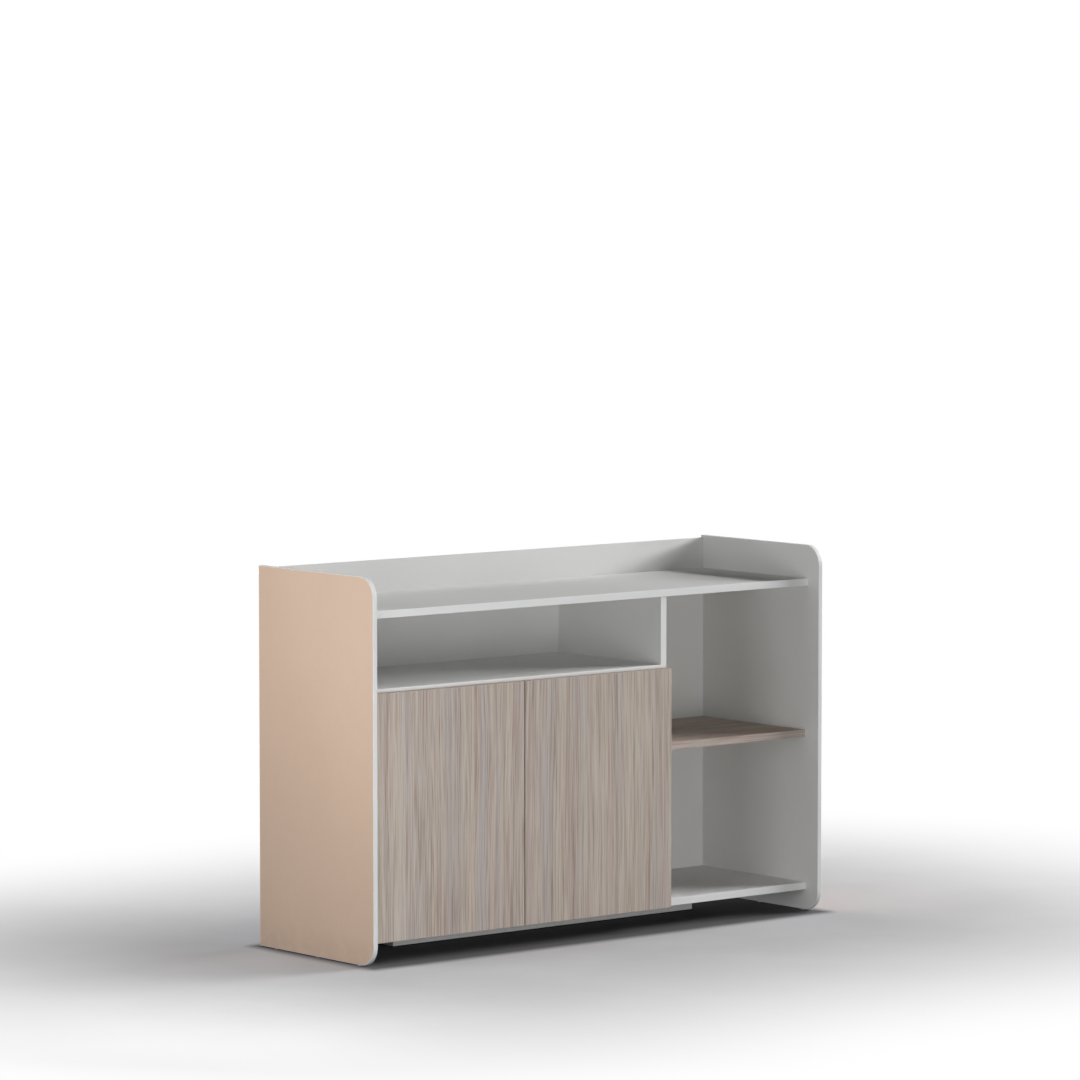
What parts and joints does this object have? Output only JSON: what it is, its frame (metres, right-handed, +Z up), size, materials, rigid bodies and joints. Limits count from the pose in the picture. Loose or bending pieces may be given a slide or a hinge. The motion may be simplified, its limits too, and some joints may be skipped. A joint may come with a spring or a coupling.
{
  "type": "office credenza",
  "caption": "Low office credenza on a recessed plinth, with rounded end panels, an open niche over a push-open cupboard and an open shelved bay at one end.",
  "frame": {"origin": "middle of the footprint, on the floor", "axes": "+X along the width towards the open bay, +Y from the front to the back, +Z up"},
  "size_m": [1.4, 0.44, 0.908],
  "materials": {
    "white_board": "melamine-faced chipboard, off-white, fine satin texture",
    "white_edging": "off-white plastic edging, satin",
    "tan_laminate": "warm tan laminate, fine satin texture",
    "wood_look_board": "greyed oak laminate with fine upright grain, satin",
    "plinth_board": "off-white laminate, satin",
    "beech": "plain sanded beech",
    "hinge_steel": "nickel-plated pressed steel",
    "cam_zinc": "die-cast zinc",
    "screw_steel": "bright zinc-plated steel",
    "pin_steel": "nickel-plated steel",
    "spring_steel": "drawn spring wire",
    "latch_plastic": "light grey moulded nylon",
    "foot_plastic": "black moulded nylon"
  },
  "bodies": {
    "root": {"back_panel": "white_board", "back_screws": "screw_steel", "bay_shelf": "wood_look_board", "bay_shelf_pins": "pin_steel", "bottom_board": "white_board", "cam_bolts": "screw_steel", "cam_locks": "cam_zinc", "cupboard_shelf": "white_board", "cupboard_shelf_pins": "pin_steel", "dowels": "beech", "end_panel_glides": "foot_plastic", "latch_screws": "screw_steel", "left_end_edging": "white_edging", "left_end_laminate": "tan_laminate", "left_end_panel": "white_board", "left_hinge_arms": "hinge_steel", "left_hinge_plate_screws": "screw_steel", "left_hinge_plates": "hinge_steel", "left_latch_housing": "latch_plastic", "left_latch_spring": "spring_steel", "niche_shelf": "white_board", "partition": "white_board", "partition_screws": "screw_steel", "plinth_back_rail": "plinth_board", "plinth_corner_blocks": "beech", "plinth_front_rail": "plinth_board", "plinth_left_rail": "plinth_board", "plinth_right_rail": "plinth_board", "plinth_screws": "screw_steel", "right_end_edging": "white_edging", "right_end_laminate": "tan_laminate", "right_end_panel": "white_board", "right_hinge_arms": "hinge_steel", "right_hinge_plate_screws": "screw_steel", "right_hinge_plates": "hinge_steel", "right_latch_housing": "latch_plastic", "right_latch_spring": "spring_steel", "worktop": "white_board"},
    "back_left_foot_screw": {"back_left_foot": "foot_plastic"},
    "back_right_foot_screw": {"back_right_foot": "foot_plastic"},
    "front_left_foot_screw": {"front_left_foot": "foot_plastic"},
    "front_right_foot_screw": {"front_right_foot": "foot_plastic"},
    "left_door_leaf": {"left_door": "wood_look_board", "left_hinge_cup_screws": "screw_steel", "left_hinge_cups": "hinge_steel", "left_strike_plate": "pin_steel"},
    "left_links": {"left_hinge_links": "hinge_steel"},
    "left_plunger": {"left_latch_plunger": "latch_plastic"},
    "right_door_leaf": {"right_door": "wood_look_board", "right_hinge_cup_screws": "screw_steel", "right_hinge_cups": "hinge_steel", "right_strike_plate": "pin_steel"},
    "right_links": {"right_hinge_links": "hinge_steel"},
    "right_plunger": {"right_latch_plunger": "latch_plastic"}
  },
  "joints": [
    {"name": "left_door_swing", "type": "hinge", "parent": "root", "child": "left_door_leaf", "pos_m": [-0.6805, -0.191, 0.343], "axis": [0, 0, 1], "range_deg": [-95, 0]},
    {"name": "right_door_swing", "type": "hinge", "parent": "root", "child": "right_door_leaf", "pos_m": [0.227, -0.191, 0.343], "axis": [0, 0, 1], "range_deg": [0, 105]},
    {"name": "left_link_turn", "type": "hinge", "parent": "root", "child": "left_links", "pos_m": [-0.6515, -0.1845, 0.343], "axis": [0, 0, 1], "range_deg": [0, 39]},
    {"name": "right_link_turn", "type": "hinge", "parent": "root", "child": "right_links", "pos_m": [0.198, -0.1845, 0.343], "axis": [0, 0, 1], "range_deg": [-44, 0]},
    {"name": "left_plunger_push", "type": "slide", "parent": "root", "child": "left_plunger", "axis": [0, 1, 0], "range_m": [0, 0.003], "stiffness_N_per_m": 150, "springref_m": -0.003, "deforming": ["left_latch_spring"]},
    {"name": "right_plunger_push", "type": "slide", "parent": "root", "child": "right_plunger", "axis": [0, 1, 0], "range_m": [0, 0.003], "stiffness_N_per_m": 150, "springref_m": -0.003, "deforming": ["right_latch_spring"]},
    {"name": "front_left_foot_height", "type": "slide", "parent": "root", "child": "front_left_foot_screw", "axis": [0, 0, 1], "range_m": [-0.01, 0.005]},
    {"name": "front_right_foot_height", "type": "slide", "parent": "root", "child": "front_right_foot_screw", "axis": [0, 0, 1], "range_m": [-0.01, 0.005]},
    {"name": "back_left_foot_height", "type": "slide", "parent": "root", "child": "back_left_foot_screw", "axis": [0, 0, 1], "range_m": [-0.01, 0.005]},
    {"name": "back_right_foot_height", "type": "slide", "parent": "root", "child": "back_right_foot_screw", "axis": [0, 0, 1], "range_m": [-0.01, 0.005]}
  ],
  "couplings": [
    {"joint": "left_link_turn", "follows": "left_door_swing", "ratio": -0.41},
    {"joint": "right_link_turn", "follows": "right_door_swing", "ratio": -0.41}
  ]
}
